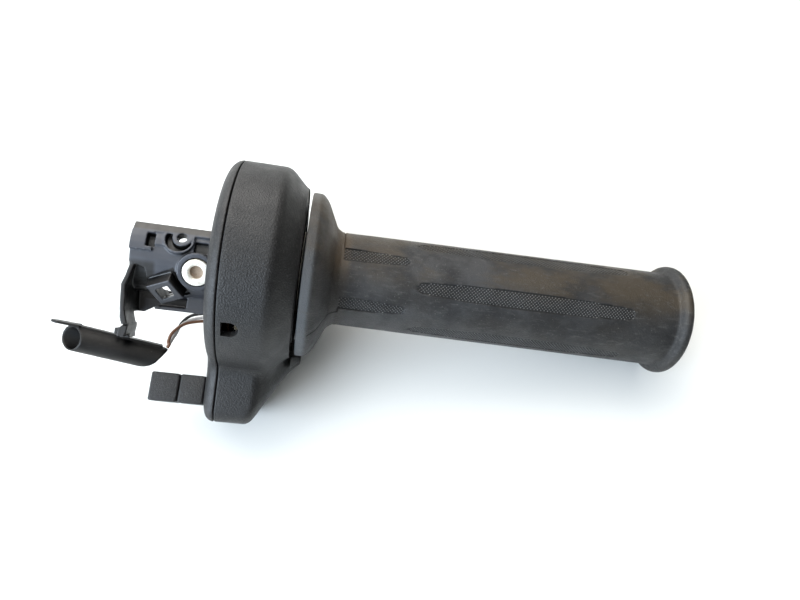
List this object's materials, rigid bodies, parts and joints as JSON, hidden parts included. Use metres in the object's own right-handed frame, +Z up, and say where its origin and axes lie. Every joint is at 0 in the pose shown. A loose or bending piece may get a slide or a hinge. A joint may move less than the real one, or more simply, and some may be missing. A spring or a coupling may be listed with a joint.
{
  "type": "throttle grip",
  "caption": "Heated twist throttle grip with knurled rubber, flange, lobed sensor housing, switch bracket and two connectors.",
  "frame": {"origin": "centre of the bounding box's bottom face, on the surface that the grip lies on", "axes": "+Z up as it lies on its housing rim, its lobe and its end bead; +X towards the free end of the grip, -Y towards the sensor lobe. The bar's axis dips 6.2 degrees below +X"},
  "size_m": [0.2178, 0.0864, 0.0729],
  "materials": {
    "housing_plastic": "fine-grained satin black moulding",
    "bracket_plastic": "smooth satin black moulding",
    "grip_rubber": "worn matte black rubber with dust in the knurling",
    "tube_plastic": "dull brown-black moulding",
    "bearing_plastic": "natural acetal",
    "zinc_metal": "bright zinc plate",
    "spring_steel": "plain bright steel",
    "gear_plastic": "natural nylon",
    "heater_foil": "amber heater film",
    "circuit_board": "green solder mask",
    "tinned_contact": "tinned contact metal",
    "brown_insulation": "brown wire insulation",
    "white_insulation": "grey-white wire insulation",
    "black_insulation": "black wire insulation"
  },
  "bodies": {
    "root": {"black_lead": "black_insulation", "bracket_screw_1": "spring_steel", "bracket_screw_2": "spring_steel", "brown_lead": "brown_insulation", "clamp_bush": "zinc_metal", "connector_clip": "bracket_plastic", "contact_carrier": "bearing_plastic", "cover_seal": "grip_rubber", "hall_sensor": "black_insulation", "heater_connector": "tube_plastic", "heater_loop": "brown_insulation", "heater_pin_1": "tinned_contact", "heater_pin_2": "tinned_contact", "housing_cover": "housing_plastic", "housing_screw_1": "spring_steel", "housing_screw_2": "spring_steel", "housing_screw_3": "spring_steel", "housing_screw_4": "spring_steel", "housing_shell": "housing_plastic", "inboard_bearing": "bearing_plastic", "lead_grommet": "grip_rubber", "outboard_bearing": "bearing_plastic", "pinion_shaft": "spring_steel", "return_spring": "spring_steel", "sensor_board": "circuit_board", "sensor_connector_base": "housing_plastic", "sensor_connector_shroud": "housing_plastic", "sensor_terminal_1": "tinned_contact", "sensor_terminal_2": "tinned_contact", "sensor_terminal_3": "tinned_contact", "sensor_terminal_4": "tinned_contact", "stop_pin": "spring_steel", "switch_bracket": "bracket_plastic", "white_lead": "white_insulation"},
    "twist": {"throttle_tube": "tube_plastic", "heater_sleeve": "heater_foil", "grip_rubber": "grip_rubber", "drive_gear": "gear_plastic", "gear_retainer": "spring_steel", "thrust_washer": "bearing_plastic"},
    "rotor": {"sensor_pinion": "gear_plastic", "sensor_magnet": "spring_steel"}
  },
  "joints": [
    {"name": "throttle_twist", "type": "hinge", "parent": "root", "child": "twist", "pos_m": [-0.01471, 0.00732, 0.03319], "axis": [0.9941, 0, -0.1085], "range_deg": [0, 75], "stiffness_Nm_per_rad": 0.3, "springref_deg": -20.05, "deforming": ["return_spring", "heater_loop"]},
    {"name": "sensor_spin", "type": "hinge", "parent": "root", "child": "rotor", "pos_m": [-0.04667, -0.02635, 0.01688], "axis": [0.9941, 0, -0.1085], "range_deg": [-252, 0]}
  ],
  "couplings": [
    {"joint": "sensor_spin", "follows": "throttle_twist", "ratio": -3.3333}
  ]
}
